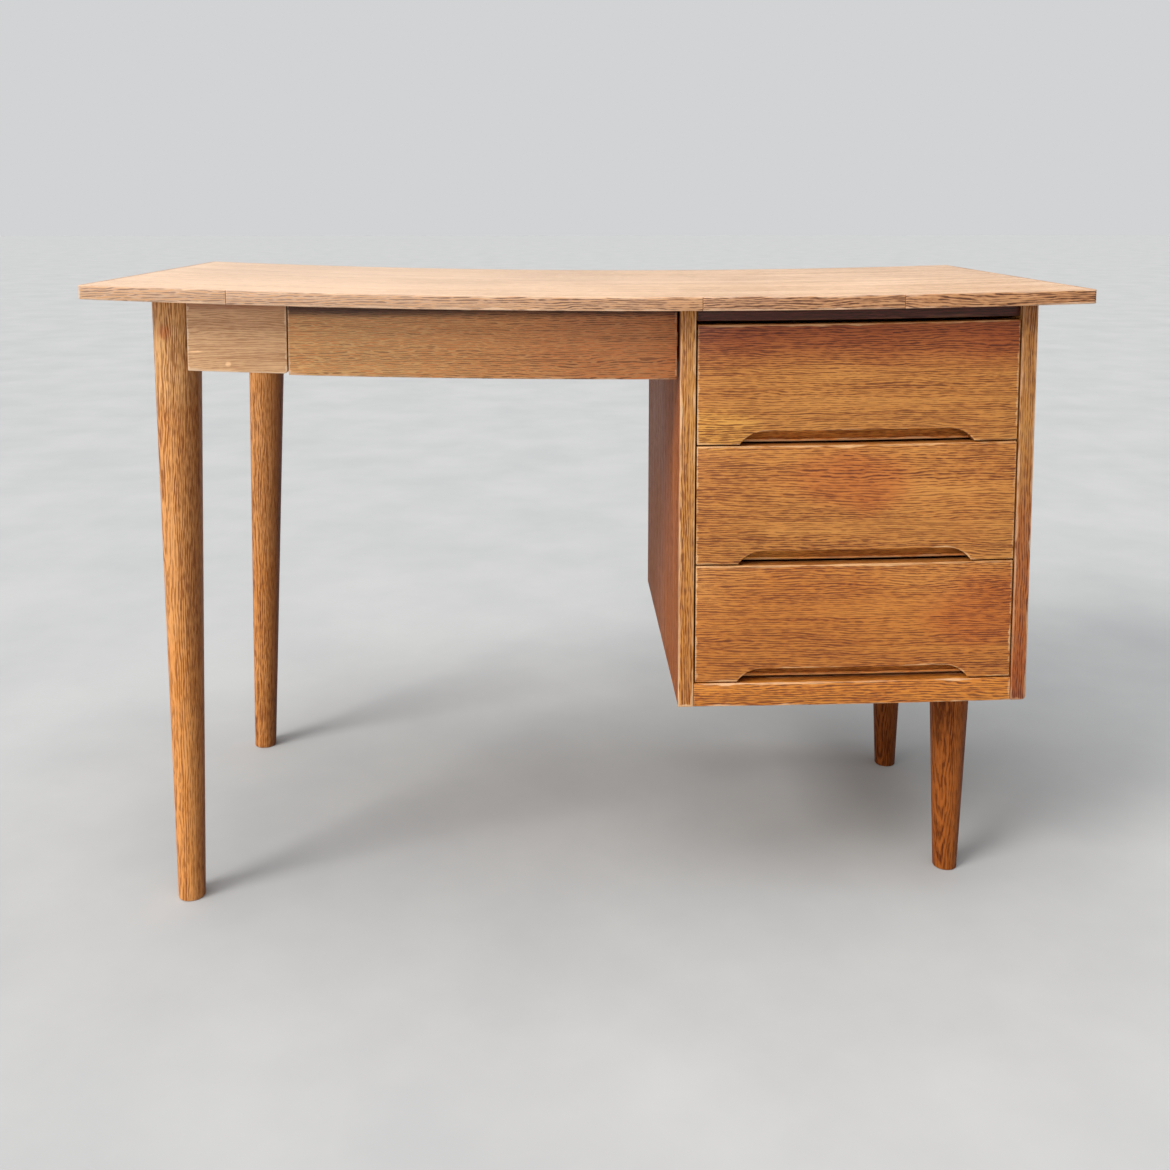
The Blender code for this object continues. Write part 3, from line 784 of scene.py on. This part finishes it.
class Bench:
    """Modelling steps shared by every sub-assembly."""

    lots = 0

    @staticmethod
    def hold(piece: bpy.types.Object) -> None:
        """Select one piece alone."""
        bpy.ops.object.select_all(action="DESELECT")
        piece.select_set(True)
        bpy.context.view_layer.objects.active = piece

    @staticmethod
    def enter(piece: bpy.types.Object, kind: str) -> None:
        """Open a piece in edit mode with nothing selected."""
        Bench.hold(piece)
        bpy.ops.object.mode_set(mode="EDIT")
        bpy.ops.mesh.select_mode(type=kind)
        bpy.ops.mesh.select_all(action="DESELECT")

    @staticmethod
    def leave() -> None:
        """Close edit mode."""
        bpy.ops.object.mode_set(mode="OBJECT")

    @staticmethod
    def set_down(piece: bpy.types.Object) -> None:
        """Put a piece's place, turn and scale into its mesh."""
        Bench.hold(piece)
        bpy.ops.object.transform_apply(location=True, rotation=True, scale=True)

    @staticmethod
    def block(name: str, low: Sequence[float], high: Sequence[float]) -> bpy.types.Object:
        """Saw a rectangular block.

        Args:
            name: The piece's name.
            low: Its lowest corner.
            high: Its highest corner.

        Returns:
            The block.
        """
        bpy.ops.object.select_all(action="DESELECT")
        middle = (Vector(low) + Vector(high)) / 2
        bpy.ops.mesh.primitive_cube_add(size=1.0, location=middle, scale=Vector(high) - Vector(low))
        piece = bpy.context.object
        piece.name = piece.data.name = name
        Bench.set_down(piece)
        return piece

    @staticmethod
    def rod(
        name: str, middle: Place, radius: float, length: float, axis: Grain, sides: int = 144
    ) -> bpy.types.Object:
        """Turn a plain rod.

        Args:
            name: The piece's name.
            middle: Its middle.
            radius: Its radius.
            length: Its length.
            axis: The axis along which it lies.
            sides: Number of sides.

        Returns:
            The rod.
        """
        quarter = math.pi / 2
        turn = {Grain.ACROSS_DESK: (0.0, quarter, 0.0), Grain.FRONT_TO_BACK: (quarter, 0.0, 0.0)}
        bpy.ops.object.select_all(action="DESELECT")
        bpy.ops.mesh.primitive_cylinder_add(
            vertices=sides,
            radius=radius,
            depth=length,
            location=middle,
            rotation=turn.get(axis, (0.0, 0.0, 0.0)),
        )
        piece = bpy.context.object
        piece.name = name
        Bench.set_down(piece)
        return piece

    @staticmethod
    def cone(
        name: str,
        foot: Tuple[float, float],
        top: Tuple[float, float],
        radii: Tuple[float, float],
        height: float,
    ) -> bpy.types.Object:
        """Turn a tapered leg that may lean.

        Args:
            name: The piece's name.
            foot: Where its foot's middle stands.
            top: Where its top's middle is.
            radii: Radius at the foot and at the top.
            height: Its height.

        Returns:
            The leg.
        """
        bpy.ops.object.select_all(action="DESELECT")
        bpy.ops.mesh.primitive_cone_add(
            vertices=96,
            radius1=radii[0],
            radius2=radii[1],
            depth=height,
            location=(foot[0], foot[1], height / 2),
        )
        piece = bpy.context.object
        piece.name = piece.data.name = name
        Bench.set_down(piece)
        Bench.pick(piece, "VERT", lambda place: place.z > height / 2)
        bpy.ops.transform.translate(value=(top[0] - foot[0], top[1] - foot[1], 0.0))
        Bench.leave()
        return piece

    @staticmethod
    def pick(piece: bpy.types.Object, kind: str, wanted: Callable[[Vector], bool]) -> None:
        """Open a piece with its wanted vertices, edges or faces selected by the place of their middles."""
        Bench.enter(piece, kind)
        Bench.leave()
        mesh = piece.data
        parts = {"VERT": mesh.vertices, "EDGE": mesh.edges, "FACE": mesh.polygons}[kind]
        for part in parts:
            if kind == "VERT":
                middle = part.co
            elif kind == "EDGE":
                middle = (mesh.vertices[part.vertices[0]].co + mesh.vertices[part.vertices[1]].co) / 2
            else:
                middle = part.center
            part.select = bool(wanted(middle))
        bpy.ops.object.mode_set(mode="EDIT")

    @staticmethod
    def round_edge(
        piece: bpy.types.Object, wanted: Callable[[Vector], bool], radius: float, segments: int = 5
    ) -> None:
        """Round the edges whose middles are wanted."""
        Bench.pick(piece, "EDGE", wanted)
        bpy.ops.mesh.bevel(offset=radius, segments=segments, affect="EDGES")
        Bench.leave()

    @staticmethod
    def carve(piece: bpy.types.Object, cutter: bpy.types.Object) -> None:
        """Cut one shape out of a piece, and throw the cutter away."""
        Bench.hold(piece)
        step = piece.modifiers.new("carve", "BOOLEAN")
        step.operation = "DIFFERENCE"
        step.solver = "EXACT"
        step.object = cutter
        bpy.ops.object.modifier_apply(modifier=step.name)
        bpy.data.objects.remove(cutter, do_unlink=True)

    @staticmethod
    def ease(
        piece: bpy.types.Object,
        radius: float,
        segments: int = 3,
        crisp: Optional[Callable[[Vector], bool]] = None,
    ) -> None:
        """Ease every arris.

        Args:
            piece: The piece.
            radius: Radius of the eased arris.
            segments: Facets of the eased arris.
            crisp: Says of an edge's middle whether that edge stays crisp.
        """
        Bench.enter(piece, "EDGE")
        bpy.ops.mesh.edges_select_sharp(sharpness=math.radians(30))
        if crisp is not None:
            Bench.leave()
            corners = piece.data.vertices
            for edge in piece.data.edges:
                middle = (corners[edge.vertices[0]].co + corners[edge.vertices[1]].co) / 2
                edge.select = edge.select and not crisp(middle)
            bpy.ops.object.mode_set(mode="EDIT")
        bpy.ops.mesh.bevel(offset=radius, segments=segments, affect="EDGES")
        Bench.leave()

    @staticmethod
    def mark(
        piece: bpy.types.Object,
        spans: Callable[[Vector], Tuple[Vector, Vector]],
        tone: Callable[[Vector], float] = lambda place: 0.0,
    ) -> None:
        """Give a piece its own lot of wood, its tone, and how far each point lies inside it.

        Args:
            piece: The piece, not yet bent.
            spans: Gives a point's distances from the piece's low faces and to its high faces.
            tone: Gives a point's tone: lighter above 0, darker below.
        """
        Bench.lots += 1
        mesh = piece.data
        tones = [tone(vertex.co) for vertex in mesh.vertices]
        for name, values in (("lot", [0.37 * Bench.lots] * len(tones)), ("tone", tones)):
            layer = mesh.attributes.new(name, "FLOAT", "POINT")
            layer.data.foreach_set("value", values)
        both = [spans(vertex.co) for vertex in mesh.vertices]
        for side, name in enumerate(("from_low", "to_high")):
            layer = mesh.attributes.new(name, "FLOAT_VECTOR", "POINT")
            layer.data.foreach_set("vector", [part for pair in both for part in pair[side]])

    @staticmethod
    def box_spans(low: Sequence[float], high: Sequence[float]) -> Callable[[Vector], Tuple[Vector, Vector]]:
        """How far a point lies inside a rectangular board, from each side."""
        return lambda place: (place - Vector(low), Vector(high) - place)

    @staticmethod
    def copied(node: str, name: str) -> bpy.types.Object:
        """Copy a frame node's shape and join its loose triangles.

        Args:
            node: The frame node.
            name: The copy's name.

        Returns:
            The copy, as a closed solid with flat faces.
        """
        Bench.hold(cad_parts[node])
        bpy.ops.object.duplicate()
        piece = bpy.context.object
        piece.name = piece.data.name = name
        for key in [key for key in piece.keys() if key.startswith("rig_")]:
            del piece[key]
        Bench.enter(piece, "VERT")
        bpy.ops.mesh.select_all(action="SELECT")
        bpy.ops.mesh.remove_doubles(threshold=TINY)
        bpy.ops.mesh.customdata_custom_splitnormals_clear()
        bpy.ops.mesh.dissolve_limited(angle_limit=math.radians(1))
        Bench.leave()
        return piece


@dataclass
class Workshop:
    """Ends each piece: bends it, dresses it, and gives it its body and node."""

    finishes: FinishSet = field(default_factory=FinishSet)
    settle: Settle = field(default_factory=Settle)

    def finish(
        self, piece: bpy.types.Object, finish: str, slot: str, body: str, nodes: Sequence[str]
    ) -> None:
        """End a piece.

        Args:
            piece: The piece.
            finish: Its finish.
            slot: Not used.
            body: The body it rides on.
            nodes: The frame nodes it stands for.
        """
        self.settle.lay(piece)
        piece.data.materials.clear()
        piece.data.materials.append(self.finishes.get(finish))
        Bench.hold(piece)
        bpy.ops.object.shade_smooth_by_angle(angle=math.radians(38))
        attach(piece, body)
        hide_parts(*nodes)
        log.info("%s: %d faces, rides on %s", piece.name, len(piece.data.polygons), body)

    def board(
        self,
        node: str,
        finish: str,
        slot: str,
        body: str = "desk",
        ease: float = 0.0009,
        tone: float = 0.0,
        shape: Optional[Callable[[bpy.types.Object], None]] = None,
    ) -> bpy.types.Object:
        """Make a board in the space of its frame node.

        Args:
            node: The frame node.
            finish: Its finish.
            slot: Not used.
            body: The body it rides on.
            ease: Radius of its arrises.
            tone: Lighter above 0, darker below.
            shape: What is cut or rounded before its arrises are eased.

        Returns:
            The board.
        """
        low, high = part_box(node)
        piece = Bench.block(f"{node}_board", low, high)
        if shape is not None:
            shape(piece)
        Bench.ease(piece, ease)
        self.settle.saw(piece)
        Bench.mark(piece, Bench.box_spans(low, high), lambda place: tone)
        self.finish(piece, finish, slot, body, [node])
        return piece

    def redress(self, node: str, finish: str) -> None:
        """Give a frame node that stays a better finish."""
        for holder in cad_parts[node].material_slots:
            holder.material = self.finishes.get(finish)

    def dress_box(self, drawer: str) -> None:
        """Give the box and the runners of one drawer their plain wood."""
        for part, finish in (
            ("left_side", "drawer_wood"),
            ("right_side", "drawer_wood"),
            ("back", "drawer_wood_across"),
            ("bottom", "plywood"),
            ("runner_left", "drawer_wood"),
            ("runner_right", "drawer_wood"),
        ):
            self.redress(f"{drawer}_{part}", finish)


# ---------------------------------------------------------------------------------------------
# Sub-assemblies
# ---------------------------------------------------------------------------------------------


@dataclass
class Tabletop:
    """The veneered top and the solid strips glued round its edges."""

    shop: Workshop
    joints: Tuple[float, ...] = (-0.411, 0.126, 0.356)
    joint_gap: float = 0.0001
    strip_tones: Tuple[float, ...] = (0.10, 0.0, -0.06, -0.14)
    worn_corner: float = 0.0042
    soft_corner: float = 0.002

    def build(self) -> None:
        """Make the top and its four edges."""
        self.shop.board("tabletop", "pale_top_oak", "oak_top", ease=0.0003)
        self.front_edge()
        self.shop.board("top_edge_back", "top_edge_oak", "oak_solid", ease=0.0008, shape=self.soften_ends)
        for node in ("top_edge_left", "top_edge_right"):
            self.shop.board(node, "top_edge_oak", "oak_solid", ease=0.0008)

    def soften_ends(self, piece: bpy.types.Object) -> None:
        """Round the outer upright corners of the back edge."""
        outer = CAD_HIGH.y - TINY
        Bench.round_edge(
            piece, lambda place: place.y > outer and abs(place.x) > CAD_HIGH.x - TINY, self.soft_corner
        )

    def front_edge(self) -> None:
        """Make the front edge from four strips that meet in tight butt joints."""
        low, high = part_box("top_edge_front")
        ends = [low.x, *self.joints, high.x]
        strips = []
        for index, tone in enumerate(self.strip_tones):
            first, last = index == 0, index == len(self.joints)
            left = ends[index] + (0.0 if first else self.joint_gap)
            right = ends[index + 1] - (0.0 if last else self.joint_gap)
            strip = Bench.block(f"front_strip_{index}", (left, low.y, low.z), (right, high.y, high.z))
            if first:
                self.round_corner(strip, low, self.soft_corner)
            if last:
                self.round_corner(strip, Vector((high.x, low.y, high.z)), self.worn_corner)
            inner_ends = ([] if first else [left]) + ([] if last else [right])
            Bench.ease(
                strip, 0.0009, crisp=lambda middle: any(abs(middle.x - end) < TINY for end in inner_ends)
            )
            self.shop.settle.saw(strip)
            reach = (left if first else left - 1.0, right if last else right + 1.0)
            spans = Bench.box_spans((reach[0], low.y, low.z), (reach[1], high.y, high.z))
            Bench.mark(strip, spans, lambda place: tone)
            strips.append(strip)
        Bench.hold(strips[0])
        for strip in strips:
            strip.select_set(True)
        bpy.ops.object.join()
        edge = bpy.context.object
        edge.name = edge.data.name = "top_edge_front_board"
        self.shop.finish(edge, "top_edge_oak", "oak_solid", "desk", ["top_edge_front"])

    @staticmethod
    def round_corner(strip: bpy.types.Object, corner: Vector, radius: float) -> None:
        """Round one upright corner of a strip."""
        Bench.round_edge(
            strip, lambda place: abs(place.x - corner.x) < TINY and abs(place.y - corner.y) < TINY, radius
        )


@dataclass
class PedestalCarcass:
    """The fixed case that holds the three drawers."""

    shop: Workshop
    bruised_corner: float = 0.0045

    def build(self) -> None:
        """Make the sides, lippings, rails, bottom and back."""
        # The left side's darker oak is partly painted shade; the right side has the plain oak.
        self.shop.board("pedestal_left_side", "dark_wood_and_painted_shade_oak", "oak_veneer")
        self.shop.board("pedestal_right_side", "plain_right_pedestal_oak", "oak_veneer")
        self.shop.board("pedestal_left_lipping", "lipping_oak", "oak_solid", ease=0.001)
        self.shop.board(
            "pedestal_right_lipping",
            "lipping_oak",
            "oak_solid",
            ease=0.001,
            tone=-0.35,
            shape=self.bruise,
        )
        self.shop.board("pedestal_bottom_rail", "rail_oak", "oak_solid", ease=0.001)
        # The top rail's very dark finish is painted shade.
        self.shop.board("pedestal_top_rail", "top_rail_painted_shade_oak", "oak_solid", ease=0.0006)
        self.shop.board("pedestal_rear_rail", "drawer_wood_across", "drawer_wood", ease=0.0008)
        self.shop.board("pedestal_bottom", "apron_oak", "oak_veneer", ease=0.0005)
        self.shop.board("pedestal_back", "plywood", "plywood", ease=0.0004)
        self.shop.board("leg_batten", "drawer_wood", "drawer_wood", ease=0.0015)
        for node in ("leg_bolt_front", "leg_bolt_rear"):
            self.shop.redress(node, "bolt_steel")

    def bruise(self, piece: bpy.types.Object) -> None:
        """Round the lower outer corner of the right lipping, where the desk has been knocked."""
        low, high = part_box("pedestal_right_lipping")
        Bench.round_edge(
            piece, lambda place: place.x > high.x - TINY and place.z < low.z + TINY, self.bruised_corner
        )


@dataclass
class KneeHole:
    """The fixed front panel, the aprons, the hanger board and the corner braces."""

    shop: Workshop
    cope_radii: Tuple[float, float] = (0.0163, 0.0283)
    panel_corner: float = 0.004

    def build(self, legs: "LegSet") -> None:
        """Make the boards round the knee hole, coped to the tall legs."""
        self.shop.board(
            "front_panel",
            "panel_oak",
            "oak_veneer",
            ease=0.0010,
            shape=lambda piece: self.shape_panel(piece, legs),
        )
        self.shop.board(
            "left_apron",
            "apron_oak_lengthwise",
            "oak_veneer",
            shape=lambda piece: self.cope(piece, legs, ("leg_front_left", "leg_rear_left")),
        )
        self.shop.board(
            "back_apron",
            "apron_oak",
            "oak_veneer",
            shape=lambda piece: self.cope(piece, legs, ("leg_rear_left",)),
        )
        self.shop.board("drawer_hanger", "drawer_wood", "drawer_wood", ease=0.001)
        for node in ("corner_brace_front", "corner_brace_rear"):
            brace = Bench.copied(node, f"{node}_block")
            Bench.ease(brace, 0.001)
            Bench.mark(brace, Bench.box_spans(*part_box(node)))
            self.shop.finish(brace, "drawer_wood_across", "drawer_wood", "desk", [node])

    def shape_panel(self, piece: bpy.types.Object, legs: "LegSet") -> None:
        """Round the panel's lower right corner and cope its left end to the leg."""
        low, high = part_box("front_panel")
        Bench.round_edge(
            piece, lambda place: place.x > high.x - TINY and place.z < low.z + TINY, self.panel_corner
        )
        self.cope(piece, legs, ("leg_front_left",))

    def cope(self, piece: bpy.types.Object, legs: "LegSet", names: Sequence[str]) -> None:
        """Cut a board to the round legs that it meets."""
        for name in names:
            leg = legs.shapes[name]
            Bench.carve(piece, Bench.cone("cope", leg.foot, leg.top, self.cope_radii, leg.height))


@dataclass(frozen=True)
class LegShape:
    """One turned leg: its foot and top, its radii, its height, its tone and the painted shade on its inner
    side.

    The side towards the middle of the desk (+X) is painted darker, as shade from the light that falls from
    the left.
    """

    foot: Tuple[float, float]
    top: Tuple[float, float]
    radii: Tuple[float, float]
    height: float
    finish: str
    tone: float
    inner_painted_shade: float

    def tone_with_inner_shade(self, place: Vector) -> float:
        """Give the tone at a point of the leg, with painted shade darkening its inner side.

        Args:
            place: The point.

        Returns:
            Its tone.
        """
        share = min(1.0, max(0.0, place.z / self.height))
        axis = self.foot[0] + (self.top[0] - self.foot[0]) * share
        radius = self.radii[0] + (self.radii[1] - self.radii[0]) * share
        inner = min(1.0, max(0.0, (place.x - axis) / radius))
        return self.tone - self.inner_painted_shade * inner**3


@dataclass
class LegSet:
    """Two tall legs at the left and two short ones under the pedestal."""

    shop: Workshop
    tall_height: float = 0.7337
    short_height: float = 0.2587
    tall_radii: Tuple[float, float] = (0.016, 0.028)
    short_radii: Tuple[float, float] = (0.0148, 0.025)
    foot_ease: float = 0.0018
    rings: Tuple[float, ...] = (0.010, 0.045, 0.16, 0.32, 0.48, 0.62)
    shapes: Dict[str, LegShape] = field(default_factory=dict)

    def __post_init__(self) -> None:
        """Write down the four legs."""
        tall = (self.tall_radii, self.tall_height, "leg_oak")
        # The short legs' darker finish is painted shade.
        short = (self.short_radii, self.short_height, "short_leg_painted_shade_oak")
        for name, foot, top, (radii, height, finish), tone, inner_painted_shade in (
            ("leg_front_left", (-0.4897, -0.206), (-0.4866, -0.206), tall, 0.0, 0.55),
            ("leg_rear_left", (-0.499, 0.220), (-0.480, 0.220), tall, -0.16, 0.75),
            ("leg_front_right", (0.458, -0.154), (0.458, -0.154), short, 0.0, 0.75),
            ("leg_rear_right", (0.458, 0.137), (0.458, 0.137), short, -0.35, 0.4),
        ):
            self.shapes[name] = LegShape(foot, top, radii, height, finish, tone, inner_painted_shade)

    def build(self) -> None:
        """Turn the four legs."""
        for node, shape in self.shapes.items():
            leg = Bench.cone(f"{node}_turned", shape.foot, shape.top, shape.radii, shape.height)
            Bench.enter(leg, "EDGE")
            bpy.ops.mesh.edges_select_sharp(sharpness=math.radians(30))
            bpy.ops.mesh.bevel(offset=self.foot_ease, segments=4, affect="EDGES")
            for height in self.rings:
                if height < shape.height - 0.03:
                    bpy.ops.mesh.select_all(action="SELECT")
                    bpy.ops.mesh.bisect(plane_co=(0.0, 0.0, height), plane_no=(0.0, 0.0, 1.0))
            Bench.leave()
            far = Vector((1.0, 1.0, 1.0))
            # The tone carries the painted shade on the leg's inner side.
            Bench.mark(leg, lambda place: (Vector((0.0, 1.0, place.z)), far), shape.tone_with_inner_shade)
            self.shop.finish(leg, shape.finish, "oak_leg", "desk", [node])


@dataclass
class PedestalDrawer:
    """One drawer of the pedestal: a front with a finger pull, a grip rail with a cove, and its box."""

    shop: Workshop
    name: str
    tone: float = 0.0
    pull: FingerPull = FingerPull()
    cove_radius: float = 0.0135
    cove_lip: float = 0.003

    def build(self) -> None:
        """Make the front and the grip rail, and dress the box."""
        self.shop.board(
            f"{self.name}_front",
            "drawer_front_oak",
            "oak_veneer",
            self.name,
            ease=0.0010,
            tone=self.tone,
            shape=self.cut_pull,
        )
        # The grip rail's light finish is painted light in its shaded cove.
        self.shop.board(
            f"{self.name}_grip_rail",
            "cove_painted_light_oak",
            "oak_solid",
            self.name,
            ease=0.0007,
            shape=self.cut_cove,
        )
        self.shop.dress_box(self.name)

    def cut_pull(self, piece: bpy.types.Object) -> None:
        """Cut the finger pull: a long slot with round ends, let into the lower edge."""
        low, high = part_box(f"{self.name}_front")
        middle = (low + high) / 2
        centre = (middle.x, middle.y, low.z + self.pull.height - self.pull.radius)
        slot = Bench.rod("pull_slot", centre, self.pull.radius, (high.y - low.y) * 2, Grain.FRONT_TO_BACK)
        for side in (-1, 1):
            Bench.pick(slot, "VERT", lambda place: (place.x - centre[0]) * side > TINY)
            bpy.ops.transform.translate(value=(side * self.pull.flat, 0.0, 0.0))
            Bench.leave()
        Bench.carve(piece, slot)

    def cut_cove(self, piece: bpy.types.Object) -> None:
        """Cut the cove over the thin lip of the grip rail."""
        low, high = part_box(f"{self.name}_grip_rail")
        centre = ((low.x + high.x) / 2, low.y, low.z + self.cove_lip + self.cove_radius)
        length = (high.x - low.x) * 1.2
        Bench.carve(piece, Bench.rod("cove", centre, self.cove_radius, length, Grain.ACROSS_DESK, 72))


@dataclass
class CentreDrawer:
    """The shallow drawer between the fixed panel and the pedestal."""

    shop: Workshop
    name: str = "centre_drawer"

    def build(self) -> None:
        """Make the front and dress the box."""
        self.shop.board(f"{self.name}_front", "centre_drawer_oak", "oak_veneer", self.name, ease=0.0010)
        self.shop.dress_box(self.name)


# ---------------------------------------------------------------------------------------------
# Studio
# ---------------------------------------------------------------------------------------------


@dataclass(frozen=True)
class SoftLight:
    """One broad, far light: the way to it, how wide it looks in degrees, its strength and colour."""

    name: str
    way: Place
    width: float
    strength: float
    colour: Tuple[float, float, float]

    def hang(self) -> None:
        """Add the light and point it at the desk."""
        bpy.ops.object.select_all(action="DESELECT")
        turn = Vector(self.way).to_track_quat("Z", "Y").to_euler()
        bpy.ops.object.light_add(type="SUN", location=Vector(self.way) * 4.0, rotation=turn)
        lamp = bpy.context.object
        lamp.name = self.name
        lamp.data.energy = self.strength
        lamp.data.angle = math.radians(self.width)
        lamp.data.color = self.colour


@dataclass
class Studio:
    """The pale floor, the soft light and the camera."""

    shop: Workshop
    floor_side: float = 60.0
    haze: Colour = (0.64, 0.65, 0.66, 1.0)
    dim: Colour = (0.12, 0.13, 0.14, 1.0)
    haze_top: float = 0.18
    dim_from: float = 0.40
    lights: Tuple[SoftLight, ...] = (
        SoftLight("key", (-0.90, -0.68, 0.80), 24.0, 2.55, (1.0, 0.985, 0.96)),
        SoftLight("overhead", (-0.10, -0.14, 1.0), 60.0, 2.65, (0.97, 0.985, 1.0)),
        SoftLight("front", (-0.40, -1.0, 0.24), 50.0, 0.78, (1.0, 0.975, 0.94)),
    )
    eye: Place = (-0.0395, -1.6641, 0.8495)
    pitch: float = 0.0934
    yaw: float = 0.0182
    roll: float = 0.0002
    lens: float = 38.02
    shift: Tuple[float, float] = (0.0050, -0.2284)

    def build(self) -> None:
        """Set up floor, light and camera."""
        bpy.ops.object.select_all(action="DESELECT")
        bpy.ops.mesh.primitive_plane_add(size=self.floor_side)
        floor = bpy.context.object
        floor.name = "studio_floor"
        floor.data.materials.append(self.shop.finishes.get("studio_floor"))
        self.set_sky()
        for light in self.lights:
            light.hang()
        self.set_camera()
        bpy.context.scene.view_settings.view_transform = "Standard"

    def set_sky(self) -> None:
        """Surround the desk with a pale haze at eye level and dimmer light above it."""
        world = bpy.data.worlds.new("studio_sky")
        world.use_nodes = True
        tree = world.node_tree
        sky = tree.nodes["Background"]
        way = tree.nodes.new("ShaderNodeTexCoord")
        height = tree.nodes.new("ShaderNodeSeparateXYZ")
        shade = tree.nodes.new("ShaderNodeValToRGB")
        stops = ((self.haze_top, self.haze), (self.dim_from, self.dim))
        FinishGraph.set_stops(shade.color_ramp, stops)
        tree.links.new(way.outputs["Generated"], height.inputs[0])
        tree.links.new(height.outputs[2], shade.inputs[0])
        tree.links.new(shade.outputs[0], sky.inputs["Color"])
        bpy.context.scene.world = world

    def set_camera(self) -> None:
        """Stand the camera at eye height in front of the desk."""
        forward = Vector(
            (
                math.sin(self.yaw) * math.cos(self.pitch),
                math.cos(self.yaw) * math.cos(self.pitch),
                -math.sin(self.pitch),
            )
        )
        right = Vector((math.cos(self.yaw), -math.sin(self.yaw), 0.0))
        up = right.cross(forward)
        tilted_right = math.cos(self.roll) * right - math.sin(self.roll) * up
        tilted_up = math.sin(self.roll) * right + math.cos(self.roll) * up
        turn = Matrix((tilted_right, tilted_up, -forward)).transposed()
        bpy.ops.object.select_all(action="DESELECT")
        bpy.ops.object.camera_add(location=self.eye, rotation=turn.to_euler())
        camera = bpy.context.object
        camera.name = "camera"
        camera.data.sensor_width = 36.0
        camera.data.lens = self.lens
        camera.data.shift_x, camera.data.shift_y = self.shift
        bpy.context.scene.camera = camera


def main() -> None:
    shop = Workshop()
    Studio(shop).build()
    Tabletop(shop).build()
    PedestalCarcass(shop).build()
    legs = LegSet(shop)
    legs.build()
    KneeHole(shop).build(legs)
    for name, tone in (("top_drawer", -0.03), ("middle_drawer", 0.02), ("bottom_drawer", -0.02)):
        PedestalDrawer(shop, name, tone).build()
    CentreDrawer(shop).build()


if __name__ == "__main__":
    main()
